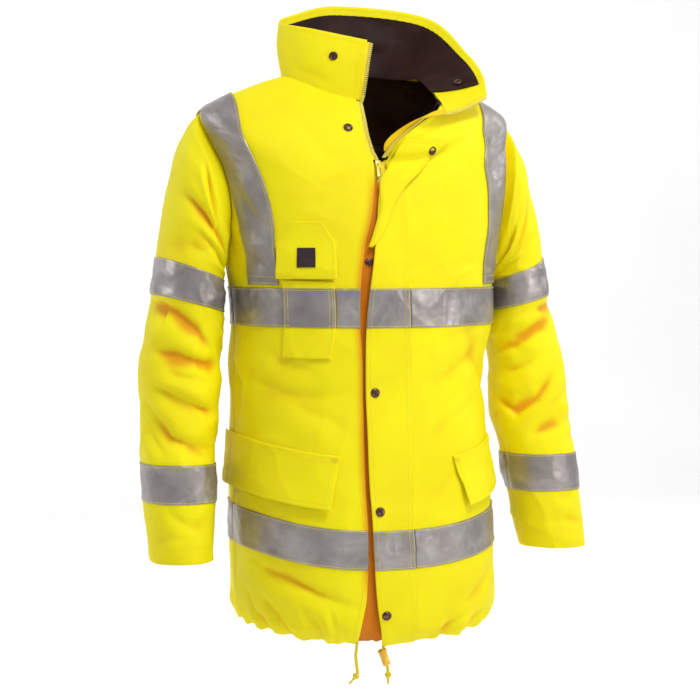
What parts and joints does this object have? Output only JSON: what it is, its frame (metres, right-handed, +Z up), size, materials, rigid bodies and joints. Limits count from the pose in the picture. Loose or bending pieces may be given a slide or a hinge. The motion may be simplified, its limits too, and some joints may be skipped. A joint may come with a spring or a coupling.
{
  "type": "hi-vis work jacket",
  "caption": "Yellow hi-vis waterproof parka with grey reflective tape, stand collar open at the neck, filled out as worn, with zip, storm flap, pockets and drawcord hem.",
  "frame": {"origin": "middle of the neck opening, level with the neck ends of the shoulder seams", "axes": "+X to the wearer's left, +Y to the wearer's back, +Z up; the front faces -Y"},
  "size_m": [0.6153, 0.3224, 0.8991],
  "materials": {
    "shell": "fluorescent yellow coated cloth, soft sheen",
    "reflective_tape": "grey retroreflective tape, satin",
    "lining": "dark brown quilted lining, dull sheen",
    "badge": "dark woven patch, bare",
    "antique_brass": "antique brass with a worn sheen",
    "zip_tape": "woven zip tape with moulded teeth",
    "cord": "braided cord and moulded cord lock, matt"
  },
  "bodies": {
    "jacket": {"front_right": "shell", "front_left": "shell", "back": "shell", "sleeve_right": "shell", "tape_sleeve_upper_right": "reflective_tape", "tape_sleeve_lower_right": "reflective_tape", "sleeve_left": "shell", "tape_sleeve_upper_left": "reflective_tape", "tape_sleeve_lower_left": "reflective_tape", "collar": "shell", "collar_lining": "lining", "lining_yoke": "lining", "lining_back": "lining", "zip_guard": "shell", "zip_tape_right": "zip_tape", "zip_tape_left": "zip_tape", "zip_tape_open_right": "zip_tape", "zip_tape_open_left": "zip_tape", "zip_guard_open": "shell", "zip_tape_collar_right": "zip_tape", "zip_tape_collar_left": "zip_tape", "storm_flap": "shell", "tape_chest_flap": "reflective_tape", "tape_hem_flap": "reflective_tape", "storm_flap_turned_back": "shell", "tape_chest_right_inner": "reflective_tape", "tape_chest_right_outer": "reflective_tape", "tape_chest_left": "reflective_tape", "tape_chest_back": "reflective_tape", "tape_hem_right": "reflective_tape", "tape_hem_left": "reflective_tape", "tape_hem_back": "reflective_tape", "tape_shoulder_front_right": "reflective_tape", "tape_shoulder_front_left": "reflective_tape", "tape_shoulder_back_right": "reflective_tape", "tape_shoulder_back_left": "reflective_tape", "pocket_flap_right": "shell", "pocket_flap_left": "shell", "chest_pocket": "shell", "tape_chest_pocket": "reflective_tape", "chest_pocket_flap": "shell", "badge": "badge", "press_stud_flap_upper": "antique_brass", "press_stud_flap_middle": "antique_brass", "press_stud_flap_lower": "antique_brass", "press_stud_right_top": "antique_brass", "press_stud_guard": "antique_brass", "press_stud_collar": "antique_brass", "press_stud_turned_back": "antique_brass", "press_stud_lining": "antique_brass", "zip_slider": "antique_brass", "cord_right": "cord", "cord_knot_right": "cord", "cord_left_upper": "cord", "cord_lock": "cord", "cord_left_lower": "cord", "cord_knot_left": "cord"},
    "zip_pull": {"zip_pull": "antique_brass"}
  },
  "joints": [
    {"name": "zip_pull_hinge", "type": "hinge", "parent": "jacket", "child": "zip_pull", "pos_m": [-0.01052, -0.1036, -0.12092], "axis": [-1, 0, 0], "range_deg": [0, 100]}
  ]
}
